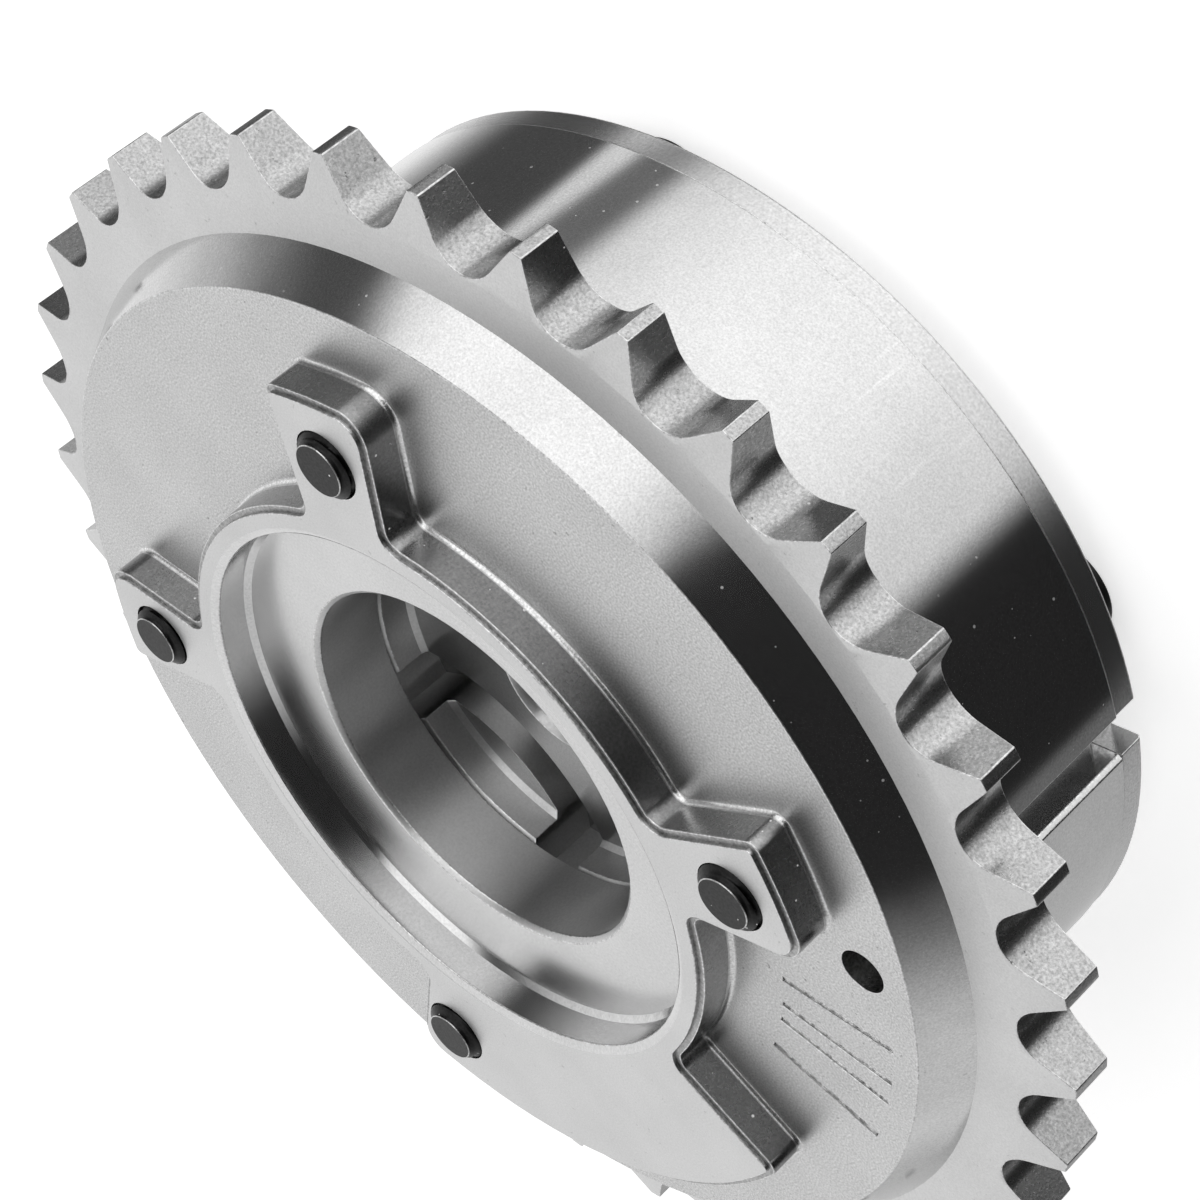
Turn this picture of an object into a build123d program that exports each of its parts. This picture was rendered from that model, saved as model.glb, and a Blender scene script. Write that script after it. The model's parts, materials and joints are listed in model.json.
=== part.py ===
from build123d import *
import os
from math import acos, atan2, cos, degrees, hypot, radians, sin

# Hydraulic cam phaser for an 8 mm timing chain. Millimetres and degrees.
# The axis of the camshaft is Z, and the camshaft side is up.
# The unit stands on its four bolt heads, on z = 0. A tooth is centred on +X.

# Chain and teeth
teeth = 36
chain_pitch = 8.0
roller_diameter = 5.0
seat_radius = 2.6
tip_addendum = 1.2
tip_land = 0.9
tooth_side_taper = 0.6

# Thicknesses, from the bolt heads up
bolt_head_height = 3.0
cover_thickness = 2.2
housing_length = 17.2
toothed_disc_thickness = 4.35
raised_disc_height = 3.25
hub_height = 3.0

# Sprocket, camshaft side
root_land = 3.2
cone_width = 2.0
ring_land = 1.6
hub_step_width = 0.45
hub_step_height = 0.3
hub_foot_round = 0.4
recess_radius = 20.75
recess_depth = 3.0
recess_corner_round = 0.4
recess_chamfer_width = 0.6
recess_chamfer_depth = 0.3
bore_radius = 14.3
bore_chamfer = 0.35

# Sprocket, drum side
counterbore_step = 1.1
counterbore_depth = 1.65

# Lugs: how far each reaches past its bolt, and the angles from the bolt to its sides, at rim and ring
bolt_angles = (-41.0, 44.6, 123.6, 240.1)
lug_ends = (5.1, 4.85, 4.85, 4.65)
lug_rim_sides = ((-8.2, 7.3), (-8.3, 7.6), (-6.6, 63.9), (-7.7, 9.15))
lug_ring_sides = ((-8.6, 11.4), (-8.3, 7.6), (-6.6, 63.9), (-8.4, 9.15))
lug_round = 2.2
lug_sharp_round = 0.9
lug_throat_round = 1.2

# Small hole through the raised disc, and the engraved strokes beside it
pin_hole_radius = 1.6
pin_hole_inset = 0.05
pin_hole_angle = -130.85
stroke_angles = (-141.2, -146.8, -150.5, -157.6)
stroke_start = 27.5
stroke_end = 36.2
stroke_width = 0.5
stroke_depth = 0.2

# Housing and cover plate
housing_radius = 35.6
cover_inset = 0.1
drum_wall = 4.3
lobe_half_angle = 15.0
chamber_corner_round = 1.0
cover_hole_radius = 15.8
edge_chamfer = 0.25
groove_angle = -131.5
groove_width = 3.3
groove_depth = 2.6
groove_chamfer = 0.35
notch_width = 3.4

# Rotor
vane_height = 11.6
rotor_travel = 14.0
stop_clearance_angle = 0.6
free_clearance_angle = 1.6
wide_vane_angle = 180.0
wide_vane_half_angle = 21.0
vane_corner_round = 0.8
cam_seat_depth = 2.9
seat_chamfer = 0.3
seat_corner_round = 0.4
oil_slot_angles = (66.2, 132.1)
oil_slot_width = 3.9
oil_slot_depth = 2.3
oil_slot_reach = 17.2
oil_channel_inside = 9.5
centre_hole_radius = 4.6
centre_hole_chamfer = 0.5
head_recess_radius = 12.5
head_recess_depth = 2.4
oil_hole_radius = 1.3
oil_hole_side_angle = 3.0
oil_hole_heights = (4.6, 9.2)

# Seal strips and their leaf springs
seal_width = 2.4
seal_height = 2.6
seal_tip_round = 0.5
seal_slot_depth = 3.7
wide_vane_seal_angle = 13.0
leaf_thickness = 0.25
leaf_width = 1.9
leaf_length = 12.0

# Lock pin, in the wide vane, and its bush, in the sprocket under the widest lug
pin_above_hub = 5.8
pin_angle_in_vane = -5.0
pin_tip_radius = 3.5
pin_tip_length = 5.0
pin_skirt_step = 0.95
pin_skirt_length = 6.0
pin_wall = 0.5
pin_ceiling = 3.0
pin_tip_chamfer = 0.5
pin_shoulder_depth = 2.0
retainer_thickness = 2.5
retainer_vent_radius = 1.0
bush_wall = 1.5
bush_depth = 4.5
pin_spring_room = 0.55
pin_spring_wire = 0.5
pin_spring_turns = 5

# Cover bolts
bolt_radius = 2.5
bolt_inset = 7.2
bolt_proud = 0.7
bolt_tip_chamfer = 0.6
bolt_head_overhang = 1.75
bolt_head_chamfer = 0.4
socket_flats = 3.0
socket_depth = 1.6

# Clearances
face_clearance = 0.05
vane_tip_clearance = 0.15
hub_clearance = 0.15
seal_clearance = 0.08
slide_clearance = 0.05
thread_clearance = 0.05
bolt_hole_clearance = 0.15
press_clearance = 0.01

# How far a cut or a joined shape reaches into free space or into its neighbour
overlap = 1.0
tolerance = 0.01

# Heights that follow from the thicknesses
cover_bottom = bolt_head_height
housing_bottom = cover_bottom + cover_thickness
sprocket_bottom = housing_bottom + housing_length
toothed_face = sprocket_bottom + toothed_disc_thickness
raised_face = toothed_face + raised_disc_height
hub_top = raised_face + hub_height
recess_floor = hub_top - recess_depth
rotor_bottom = housing_bottom + face_clearance
rotor_top = sprocket_bottom - face_clearance
seat_top = sprocket_bottom + counterbore_depth - face_clearance
seat_floor = seat_top - cam_seat_depth
slot_floor = seat_floor - oil_slot_depth
bolt_end = hub_top + bolt_proud

# Radii and angles that follow from others
tooth_step = 360 / teeth
pitch_radius = chain_pitch / 2 / sin(radians(tooth_step / 2))
root_radius = pitch_radius - roller_diameter / 2
tip_radius = pitch_radius + tip_addendum
cone_foot_radius = root_radius - root_land
raised_disc_radius = cone_foot_radius - cone_width
recess_wall = recess_radius + recess_corner_round
ring_radius = recess_wall + recess_chamfer_width + ring_land
cover_radius = housing_radius - cover_inset
chamber_radius = housing_radius - drum_wall
vane_radius = chamber_radius - vane_tip_clearance
rotor_hub_radius = chamber_radius - vane_height
lobe_tip_radius = rotor_hub_radius + hub_clearance
counterbore_radius = rotor_hub_radius - counterbore_step
bolt_circle = housing_radius - bolt_inset
bolt_hole_radius = bolt_radius + bolt_hole_clearance
bolt_tip_radius = bolt_radius - bolt_tip_chamfer
bolt_head_radius = bolt_radius + bolt_head_overhang
hub_radius = bolt_circle + max(lug_ends)
pin_hole_circle = housing_radius - groove_depth + pin_hole_radius + pin_hole_inset
pin_circle = rotor_hub_radius + pin_above_hub
pin_skirt_radius = pin_tip_radius + pin_skirt_step
pin_hollow_radius = pin_tip_radius - pin_wall
pin_spring_radius = pin_hollow_radius - pin_spring_room - pin_spring_wire / 2
pin_angle = wide_vane_angle + pin_angle_in_vane
bush_angle = pin_angle - rotor_travel
bush_hole_radius = pin_tip_radius + slide_clearance
bush_radius = bush_hole_radius + bush_wall
stop_angle = rotor_travel + stop_clearance_angle


def at(radius, angle, z=0):
    return Vector(radius * cos(radians(angle)), radius * sin(radians(angle)), z)


def arc(radius, start, end):
    return ThreePointArc(at(radius, start), at(radius, (start + end) / 2), at(radius, end))


def sector(inner, outer, start, end):
    rim = arc(outer, start, end)
    bottom = arc(inner, end, start)
    return make_face([rim, Line(rim @ 1, bottom @ 0), bottom, Line(bottom @ 1, rim @ 0)])


def slab(sketch, bottom, top):
    return Pos(0, 0, bottom) * extrude(sketch, top - bottom)


def rod(radius, bottom, top):
    return slab(Circle(radius), bottom, top)


def turned(points):
    return revolve(make_face(Plane.XZ * Polyline(*points, close=True)), Axis.Z)


# Sprocket: toothed disc, raised disc with its polished cone, star hub, all one sintered piece
def tooth_gap(centre_angle):
    """The seat of one roller and its two straight flanks, up to the tip corners."""
    tip_half = degrees(tip_land / 2 / tip_radius)
    corner_angle = tooth_step / 2 - tip_half
    seat_centre = root_radius + seat_radius
    corner = at(tip_radius, corner_angle) - at(seat_centre, 0)
    tangent = atan2(corner.Y, corner.X) + acos(seat_radius / hypot(corner.X, corner.Y))
    touch = at(seat_centre, 0) + at(seat_radius, degrees(tangent))
    touch_radius = hypot(touch.X, touch.Y)
    touch_angle = degrees(atan2(touch.Y, touch.X))
    before = at(touch_radius, centre_angle - touch_angle)
    after = at(touch_radius, centre_angle + touch_angle)
    return [
        Line(at(tip_radius, centre_angle - corner_angle), before),
        ThreePointArc(before, at(root_radius, centre_angle), after),
        Line(after, at(tip_radius, centre_angle + corner_angle)),
        arc(tip_radius, centre_angle + corner_angle, centre_angle + tooth_step - corner_angle),
    ]


def toothed_disc():
    edges = []
    for tooth in range(teeth):
        edges += tooth_gap((tooth + 0.5) * tooth_step)
    straight = slab(make_face(edges), sprocket_bottom, toothed_face)
    envelope = turned(
        [
            (0, sprocket_bottom),
            (root_radius, sprocket_bottom),
            (tip_radius, sprocket_bottom + tooth_side_taper),
            (tip_radius, toothed_face - tooth_side_taper),
            (root_radius, toothed_face),
            (0, toothed_face),
        ]
    )
    return straight & envelope


def raised_disc():
    return turned(
        [
            (0, sprocket_bottom),
            (cone_foot_radius, sprocket_bottom),
            (cone_foot_radius, toothed_face),
            (raised_disc_radius, raised_face),
            (0, raised_face),
        ]
    )


def lug(bolt_angle, end_length, rim_sides, ring_sides):
    """One arm of the star. Its trailing rim corner is more rounded than its leading one."""
    start, end = (bolt_angle + side for side in rim_sides)
    ring_start, ring_end = (bolt_angle + side for side in ring_sides)
    inside = ring_radius - lug_throat_round
    rim = arc(bolt_circle + end_length, start, end)
    face = make_face(
        [
            rim,
            Line(rim @ 1, at(inside, ring_end)),
            Line(at(inside, ring_end), (0, 0)),
            Line((0, 0), at(inside, ring_start)),
            Line(at(inside, ring_start), rim @ 0),
        ]
    )
    trailing = face.vertices().sort_by_distance(rim @ 0)[0]
    face = fillet(trailing, lug_round)
    leading = face.vertices().sort_by_distance(rim @ 1)[0]
    return fillet(leading, lug_sharp_round)


def star_outline():
    star = Circle(ring_radius)
    for lug_values in zip(bolt_angles, lug_ends, lug_rim_sides, lug_ring_sides):
        star += lug(*lug_values)
    throats = [v for v in star.vertices() if abs(hypot(v.X, v.Y) - ring_radius) < tolerance]
    return fillet(throats, lug_throat_round)


def star_hub():
    """The star, and inside its outline a low step up to the top face."""
    outline = star_outline()
    top_face = offset(outline, -hub_step_width)
    return slab(outline, raised_face, hub_top - hub_step_height) + slab(top_face, raised_face, hub_top)


def recess_and_bore():
    """The recess for the camshaft's flange, and below it the bore that runs on the camshaft."""
    recess = turned(
        [
            (0, recess_floor),
            (recess_radius, recess_floor),
            (recess_wall, recess_floor + recess_corner_round),
            (recess_wall, hub_top - recess_chamfer_depth),
            (recess_wall + recess_chamfer_width, hub_top),
            (0, hub_top),
        ]
    )
    bore = turned(
        [
            (0, sprocket_bottom),
            (counterbore_radius, sprocket_bottom),
            (counterbore_radius, sprocket_bottom + counterbore_depth),
            (bore_radius, sprocket_bottom + counterbore_depth),
            (bore_radius, recess_floor - bore_chamfer),
            (bore_radius + bore_chamfer, recess_floor),
            (0, recess_floor),
        ]
    )
    return recess + bore


def strokes():
    middle = (stroke_start + stroke_end) / 2
    bar = slab(Rectangle(stroke_end - stroke_start, stroke_width), raised_face - stroke_depth, raised_face)
    return [Rot(0, 0, angle) * Pos(middle, 0, 0) * bar for angle in stroke_angles]


def foot_of_hub(edge):
    middle = edge @ 0.5
    reach = hypot(middle.X, middle.Y)
    on_face = abs(middle.Z - raised_face) < tolerance
    return on_face and ring_radius - tolerance < reach < hub_radius + tolerance


def sprocket():
    body = toothed_disc() + raised_disc() + star_hub()
    body = fillet(body.edges().filter_by(foot_of_hub), hub_foot_round)
    body -= recess_and_bore()
    for angle in bolt_angles:
        body -= Pos(at(bolt_circle, angle)) * rod(bolt_radius + thread_clearance, sprocket_bottom, hub_top)
    body -= Pos(at(pin_hole_circle, pin_hole_angle)) * rod(pin_hole_radius, sprocket_bottom, raised_face)
    pocket = rod(bush_radius + press_clearance, sprocket_bottom, sprocket_bottom + bush_depth)
    body -= Pos(at(pin_circle, bush_angle)) * pocket
    for stroke in strokes():
        body -= stroke
    return body


# Housing: the drum, with four lobes inside that part the oil chambers
def lobe_spans():
    """Start and end angle of each lobe. The two beside the wide vane reach to its stops."""
    spans = [[angle - lobe_half_angle, angle + lobe_half_angle] for angle in bolt_angles]
    spans[2][1] = wide_vane_angle - wide_vane_half_angle - stop_angle
    spans[3][0] = wide_vane_angle + wide_vane_half_angle + stop_angle
    return spans


def chamber_spans():
    """Start and end angle of each chamber, from one lobe to the next."""
    spans = lobe_spans()
    starts = [end for start, end in spans]
    ends = [start for start, end in spans[1:]] + [spans[0][0] + 360]
    return list(zip(starts, ends))


def chamber_outline():
    shape = Circle(lobe_tip_radius)
    for start, end in chamber_spans():
        chamber = sector(rotor_hub_radius - overlap, chamber_radius, start, end)
        corners = [v for v in chamber.vertices() if hypot(v.X, v.Y) > rotor_hub_radius]
        shape += fillet(corners, chamber_corner_round)
    return shape


def seal_slot(inner, outer):
    width = seal_width + 2 * slide_clearance
    return Pos((inner + outer) / 2, 0) * Rectangle(outer - inner, width)


def groove(width):
    """The axial groove down the outside of the drum, at angle 0."""
    return Pos(housing_radius, 0) * Rectangle(2 * groove_depth, width)


def groove_flare():
    edge = -groove_width / 2
    points = [(housing_radius + overlap, edge), (housing_radius - groove_chamfer, edge)]
    points += [(housing_radius + overlap, edge - groove_chamfer - overlap)]
    return make_face(Polyline(*points, close=True))


def housing():
    outline = Circle(housing_radius) - chamber_outline()
    outline -= Rot(0, 0, groove_angle) * groove(groove_width)
    outline -= Rot(0, 0, groove_angle) * groove_flare()
    slot = seal_slot(lobe_tip_radius - overlap, lobe_tip_radius + seal_slot_depth)
    for angle in bolt_angles:
        outline -= Pos(at(bolt_circle, angle)) * Circle(bolt_hole_radius)
        outline -= Rot(0, 0, angle) * slot
    return slab(outline, housing_bottom, sprocket_bottom)


def cover_plate():
    outline = Circle(cover_radius) - Circle(cover_hole_radius)
    outline -= Rot(0, 0, groove_angle) * groove(notch_width)
    for angle in bolt_angles:
        outline -= Pos(at(bolt_circle, angle)) * Circle(bolt_hole_radius)
    plate = slab(outline, cover_bottom, housing_bottom)
    rims = plate.edges().filter_by(GeomType.CIRCLE).group_by(Axis.Z)[0]
    outer = [edge for edge in rims if edge.radius > cover_radius - tolerance]
    return chamfer(outer, edge_chamfer)


# Rotor: hub with four vanes, clamped to the end of the camshaft
def vane_spans():
    """Centre and half angle of each vane with the rotor halfway between its stops."""
    spans = []
    for start, end in chamber_spans():
        half = (end - start) / 2 - rotor_travel - free_clearance_angle
        spans.append([(start + end) / 2, half])
    spans[2] = [wide_vane_angle, wide_vane_half_angle]
    return spans


def vane_seal_angles():
    angles = [centre for centre, half in vane_spans()]
    angles[2] += wide_vane_seal_angle
    return angles


def rotor_outline():
    shape = Circle(rotor_hub_radius)
    for centre, half in vane_spans():
        vane = sector(rotor_hub_radius - overlap, vane_radius, centre - half, centre + half)
        corners = [v for v in vane.vertices() if hypot(v.X, v.Y) > rotor_hub_radius]
        shape += fillet(corners, vane_corner_round)
    slot = seal_slot(vane_radius - seal_slot_depth, vane_radius + overlap)
    for angle in vane_seal_angles():
        shape -= Rot(0, 0, angle) * slot
    return shape


def rotor_bosses():
    """The boss that centres the rotor in the sprocket, and the one in the cover plate's hole."""
    upper = rod(counterbore_radius - hub_clearance, rotor_bottom, seat_top)
    lower = rod(cover_hole_radius - hub_clearance, cover_bottom + face_clearance, rotor_top)
    return upper + lower


def camshaft_seat():
    head_top = cover_bottom + face_clearance + head_recess_depth
    return turned(
        [
            (0, cover_bottom),
            (head_recess_radius, cover_bottom),
            (head_recess_radius, head_top),
            (centre_hole_radius, head_top),
            (centre_hole_radius, seat_floor - centre_hole_chamfer),
            (centre_hole_radius + centre_hole_chamfer, seat_floor),
            (bore_radius - seat_corner_round, seat_floor),
            (bore_radius, seat_floor + seat_corner_round),
            (bore_radius, seat_top - seat_chamfer),
            (bore_radius + seat_chamfer, seat_top),
            (0, seat_top),
        ]
    )


def oil_channel():
    """Two radial slots in the seat's wall, joined by a curved channel in its floor."""
    start, end = oil_slot_angles
    middle = at(oil_channel_inside, (start + end) / 2)
    curve = ThreePointArc(at(bore_radius, start), middle, at(bore_radius, end))
    first = Line(at(oil_slot_reach, start), curve @ 0)
    last = Line(curve @ 1, at(oil_slot_reach, end))
    return slab(trace([first, curve, last], oil_slot_width), slot_floor, seat_top)


def oil_holes():
    """One drilled hole each side of every vane, the two sides at their own height."""
    holes = []
    for centre, half in vane_spans():
        for side, height in zip((-1, 1), oil_hole_heights):
            angle = centre + side * (half + oil_hole_side_angle)
            drill = Rot(0, 90, 0) * rod(oil_hole_radius, 0, rotor_hub_radius + overlap)
            holes.append(Rot(0, 0, angle) * Pos(0, 0, rotor_bottom + height) * drill)
    return holes


def lock_pin_bore():
    shoulder = rotor_top - pin_shoulder_depth
    tip = rod(pin_tip_radius + slide_clearance, shoulder, rotor_top)
    skirt = rod(pin_skirt_radius + slide_clearance, rotor_bottom, shoulder)
    return Pos(at(pin_circle, pin_angle)) * (tip + skirt)


def rotor():
    body = slab(rotor_outline(), rotor_bottom, rotor_top) + rotor_bosses()
    body -= camshaft_seat()
    body -= oil_channel()
    for hole in oil_holes():
        body -= hole
    return body - lock_pin_bore()


# Seals and their leaf springs, drawn at angle 0 with the tip on the outside
def seal_strip(outer):
    """A strip in a vane, its rounded tip at the radius outer."""
    strip = Pos(outer - seal_height / 2, 0) * Rectangle(seal_height, seal_width)
    tips = strip.vertices().group_by(Axis.X)[-1]
    return slab(fillet(tips, seal_tip_round), rotor_bottom, rotor_top)


def leaf_spring(slot_bottom, seal_back):
    """A bowed strip in the room behind a seal. Its ends touch one side, its middle the other."""
    height = seal_back - slot_bottom
    bow = height - leaf_thickness
    middle = (rotor_bottom + rotor_top) / 2
    half = leaf_length / 2
    ends = (slot_bottom, middle - half), (slot_bottom, middle + half)
    inner = ThreePointArc(ends[0], (slot_bottom + bow, middle), ends[1])
    radius = (half * half + bow * bow) / (2 * bow) + leaf_thickness
    top = (slot_bottom + height, middle)
    outer_end = slot_bottom + height - radius + (radius * radius - half * half) ** 0.5
    outer = ThreePointArc((outer_end, middle + half), top, (outer_end, middle - half))
    face = make_face([inner, Line(inner @ 1, outer @ 0), outer, Line(outer @ 1, inner @ 0)])
    return extrude(Plane.XZ * face, leaf_width / 2, both=True)


def vane_seal(angle):
    return Rot(0, 0, angle) * seal_strip(chamber_radius - seal_clearance)


def vane_seal_spring(angle):
    slot_bottom = vane_radius - seal_slot_depth + seal_clearance
    seal_back = chamber_radius - 2 * seal_clearance - seal_height
    return Rot(0, 0, angle) * leaf_spring(slot_bottom, seal_back)


def lobe_seal(angle):
    """The same strip turned inwards, its tip against the rotor hub."""
    tip = rotor_hub_radius + seal_clearance
    inward = Pos(2 * tip, 0, 0) * mirror(seal_strip(tip), Plane.YZ)
    return Rot(0, 0, angle) * inward


def lobe_seal_spring(angle):
    slot_bottom = lobe_tip_radius + seal_slot_depth - seal_clearance
    seal_back = rotor_hub_radius + 2 * seal_clearance + seal_height
    inward = Pos(slot_bottom, 0, 0) * mirror(leaf_spring(0, slot_bottom - seal_back), Plane.YZ)
    return Rot(0, 0, angle) * inward


# Lock pin, resting with its tip on the sprocket's face, between the unlocked and the locked place
def lock_pin():
    shoulder = rotor_top - pin_tip_length
    bottom = shoulder - pin_skirt_length
    ceiling = rotor_top - pin_ceiling
    pin = rod(pin_tip_radius, shoulder, rotor_top) + rod(pin_skirt_radius, bottom, shoulder)
    pin = chamfer(pin.edges().group_by(Axis.Z)[-1], pin_tip_chamfer)
    pin -= rod(pin_hollow_radius, bottom, ceiling)
    return Pos(at(pin_circle, pin_angle)) * pin


def lock_pin_retainer():
    top = rotor_bottom + retainer_thickness
    plug = rod(pin_skirt_radius + slide_clearance - press_clearance, rotor_bottom, top)
    plug -= rod(retainer_vent_radius, rotor_bottom, top)
    return Pos(at(pin_circle, pin_angle)) * plug


def lock_pin_spring():
    bottom = rotor_bottom + retainer_thickness + pin_spring_wire / 2 + slide_clearance
    top = rotor_top - pin_ceiling - pin_spring_wire / 2 - slide_clearance
    path = Helix((top - bottom) / pin_spring_turns, top - bottom, pin_spring_radius)
    section = Plane(path @ 0, z_dir=path % 0) * Circle(pin_spring_wire / 2)
    return Pos(at(pin_circle, pin_angle, bottom)) * sweep(section, path)


def lock_pin_bush():
    depth = bush_depth - press_clearance
    bush = rod(bush_radius, sprocket_bottom, sprocket_bottom + depth)
    bush -= rod(bush_hole_radius, sprocket_bottom, sprocket_bottom + depth)
    return Pos(at(pin_circle, bush_angle)) * bush


# Cover bolts: low socket heads under the cover plate, ends just through the lugs
def cover_bolt(angle):
    bolt = turned(
        [
            (0, 0),
            (bolt_head_radius - bolt_head_chamfer, 0),
            (bolt_head_radius, bolt_head_chamfer),
            (bolt_head_radius, bolt_head_height),
            (bolt_radius, bolt_head_height),
            (bolt_radius, bolt_end - bolt_tip_chamfer),
            (bolt_tip_radius, bolt_end),
            (0, bolt_end),
        ]
    )
    bolt -= slab(RegularPolygon(socket_flats / 2, 6, major_radius=False), 0, socket_depth)
    return Pos(at(bolt_circle, angle)) * Rot(0, 0, angle) * bolt


pieces = {
    "sprocket": sprocket(),
    "housing": housing(),
    "cover_plate": cover_plate(),
    "rotor": rotor(),
    "lock_pin": lock_pin(),
    "lock_pin_spring": lock_pin_spring(),
    "lock_pin_retainer": lock_pin_retainer(),
    "lock_pin_bush": lock_pin_bush(),
}
for number, angle in enumerate(vane_seal_angles(), 1):
    pieces[f"vane_seal_{number}"] = vane_seal(angle)
    pieces[f"vane_seal_spring_{number}"] = vane_seal_spring(angle)
for number, angle in enumerate(bolt_angles, 1):
    pieces[f"lobe_seal_{number}"] = lobe_seal(angle)
    pieces[f"lobe_seal_spring_{number}"] = lobe_seal_spring(angle)
    pieces[f"cover_bolt_{number}"] = cover_bolt(angle)

os.makedirs("parts", exist_ok=True)
for name, shape in pieces.items():
    export_step(shape, f"parts/{name}.step")
    print(name, len(shape.solids()), round(shape.volume, 1))
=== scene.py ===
# %% [markdown]
# # Cam phaser
# A cam phaser sits on the end of an engine's camshaft. The chain turns its toothed sprocket and drum, and
# oil pressure turns the rotor inside by a few degrees, which makes the valves open earlier or later. The
# shapes come from the CAD model. This lesson gives them their machined edges, their threads and their
# steel.

# %% Load the frame
import json
import math

import bpy
from mathutils import Euler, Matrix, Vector


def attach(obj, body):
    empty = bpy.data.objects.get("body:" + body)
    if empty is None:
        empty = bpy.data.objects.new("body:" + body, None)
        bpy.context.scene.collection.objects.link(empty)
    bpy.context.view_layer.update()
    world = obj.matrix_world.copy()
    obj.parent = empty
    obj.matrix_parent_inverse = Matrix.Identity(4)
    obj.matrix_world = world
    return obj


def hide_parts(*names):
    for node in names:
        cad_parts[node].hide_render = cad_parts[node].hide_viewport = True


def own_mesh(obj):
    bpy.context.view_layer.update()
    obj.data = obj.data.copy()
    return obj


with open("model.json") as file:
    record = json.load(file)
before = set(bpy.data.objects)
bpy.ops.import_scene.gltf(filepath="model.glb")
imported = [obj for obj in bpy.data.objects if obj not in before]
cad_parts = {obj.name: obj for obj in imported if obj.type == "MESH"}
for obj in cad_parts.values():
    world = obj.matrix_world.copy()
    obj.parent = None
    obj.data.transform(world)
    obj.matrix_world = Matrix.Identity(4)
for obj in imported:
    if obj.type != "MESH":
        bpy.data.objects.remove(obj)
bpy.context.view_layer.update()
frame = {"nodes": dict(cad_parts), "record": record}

MM = 0.001

# %% [markdown]
# ## Camera
# The photograph is a close-up from the camshaft side, taken low over the part with the camera rolled far
# round. A lens a little longer than normal and a slight shift give the same crop.

# %% Camera
camera_data = bpy.data.cameras.new("close_up")
camera_data.lens = 98.18
camera_data.sensor_width = 36.0
camera_data.shift_x = 0.0833
camera_data.shift_y = -0.1333
camera_data.clip_start = 0.005
camera_data.clip_end = 20.0
camera = bpy.data.objects.new("close_up", camera_data)
camera.location = Vector((15.90, -200.49, 121.33)) * MM
camera.rotation_mode = "ZYX"
camera.rotation_euler = Euler((math.radians(61.44), 0.0, math.radians(-128.85)), "ZYX")
bpy.context.scene.collection.objects.link(camera)
bpy.context.scene.camera = camera
print("camera distance, mm:", round(camera.location.length / MM, 1))

# %% [markdown]
# ## Studio
# Bare steel has almost no colour of its own: it shows the room. A product studio gives it a white room and
# one large softbox from the side. The floor stays plain and white, with the part's shadow on it.

# %% Helpers for node trees
def add_node(tree, kind, inputs=None, **settings):
    """Adds a shader node, sets its properties, and fills or links its inputs."""
    made = tree.nodes.new(kind)
    for name, value in settings.items():
        setattr(made, name, value)
    for name, value in (inputs or {}).items():
        if isinstance(value, bpy.types.NodeSocket):
            tree.links.new(value, made.inputs[name])
        else:
            made.inputs[name].default_value = value
    return made


def maths(tree, operation, first, second=0.0):
    return add_node(tree, "ShaderNodeMath", {0: first, 1: second}, operation=operation).outputs[0]


def grey(value):
    return (value, value, value, 1.0)


def mix_shaders(tree, share, first, second):
    """All of the first shader where share is 0, and all of the second where it is 1."""
    inputs = {0: share, 1: first.outputs[0], 2: second.outputs[0]}
    return add_node(tree, "ShaderNodeMixShader", inputs).outputs[0]


def new_material(name):
    material = bpy.data.materials.new(name)
    material.use_nodes = True
    return material, material.node_tree


def seen_directly(tree):
    """1 for the rays that show the background: from the camera, in reflections and through glass."""
    path = add_node(tree, "ShaderNodeLightPath").outputs
    either = maths(tree, "MAXIMUM", path["Is Camera Ray"], path["Is Glossy Ray"])
    return maths(tree, "MAXIMUM", either, path["Is Transmission Ray"])


# %% White room
ROOM_LIGHT, ROOM_WHITE = 0.65, 1.0

world = bpy.data.worlds.new("white_room")
bpy.context.scene.world = world
world.use_nodes = True
tree = world.node_tree
tree.nodes.clear()
soft_sky = add_node(tree, "ShaderNodeBackground", {"Color": grey(1.0), "Strength": ROOM_LIGHT})
white_sky = add_node(tree, "ShaderNodeBackground", {"Color": grey(1.0), "Strength": ROOM_WHITE})
sky = mix_shaders(tree, seen_directly(tree), soft_sky, white_sky)
add_node(tree, "ShaderNodeOutputWorld", {"Surface": sky})
world.cycles.sampling_method = "NONE"
bpy.context.scene.view_settings.view_transform = "Standard"
print("room light:", ROOM_LIGHT)

# %% Floor
# It glows a little for the rays that show it, so that it is as white as the room behind it.
FLOOR_SIZE, FLOOR_PAINT, FLOOR_GLOW = 8.0, 0.9, 0.5

floor_material, tree = new_material("white_floor")
tree.nodes.clear()
paint = add_node(tree, "ShaderNodeBsdfDiffuse", {"Color": grey(FLOOR_PAINT)})
glow = add_node(tree, "ShaderNodeEmission", {"Color": grey(1.0), "Strength": FLOOR_GLOW})
both = add_node(tree, "ShaderNodeAddShader", {0: paint.outputs[0], 1: glow.outputs[0]})
shown = mix_shaders(tree, seen_directly(tree), paint, both)
add_node(tree, "ShaderNodeOutputMaterial", {"Surface": shown})
bpy.ops.object.select_all(action="DESELECT")
bpy.ops.mesh.primitive_plane_add(size=FLOOR_SIZE, location=(0, 0, 0))
floor = bpy.context.active_object
floor.name = "floor"
floor.data.materials.append(floor_material)
floor.visible_glossy = False
print("floor, m:", FLOOR_SIZE)

# %% Softbox over the floor
SOFTBOX_BRIGHTNESS, SOFTBOX_PLACE = 1.45, (480, -46, 300)


def polar(radius, angle, height=0.0):
    """A point in metres, from millimetres and degrees round the camshaft's axis."""
    turn = math.radians(angle)
    return Vector((radius * math.cos(turn), radius * math.sin(turn), height)) * MM


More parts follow.
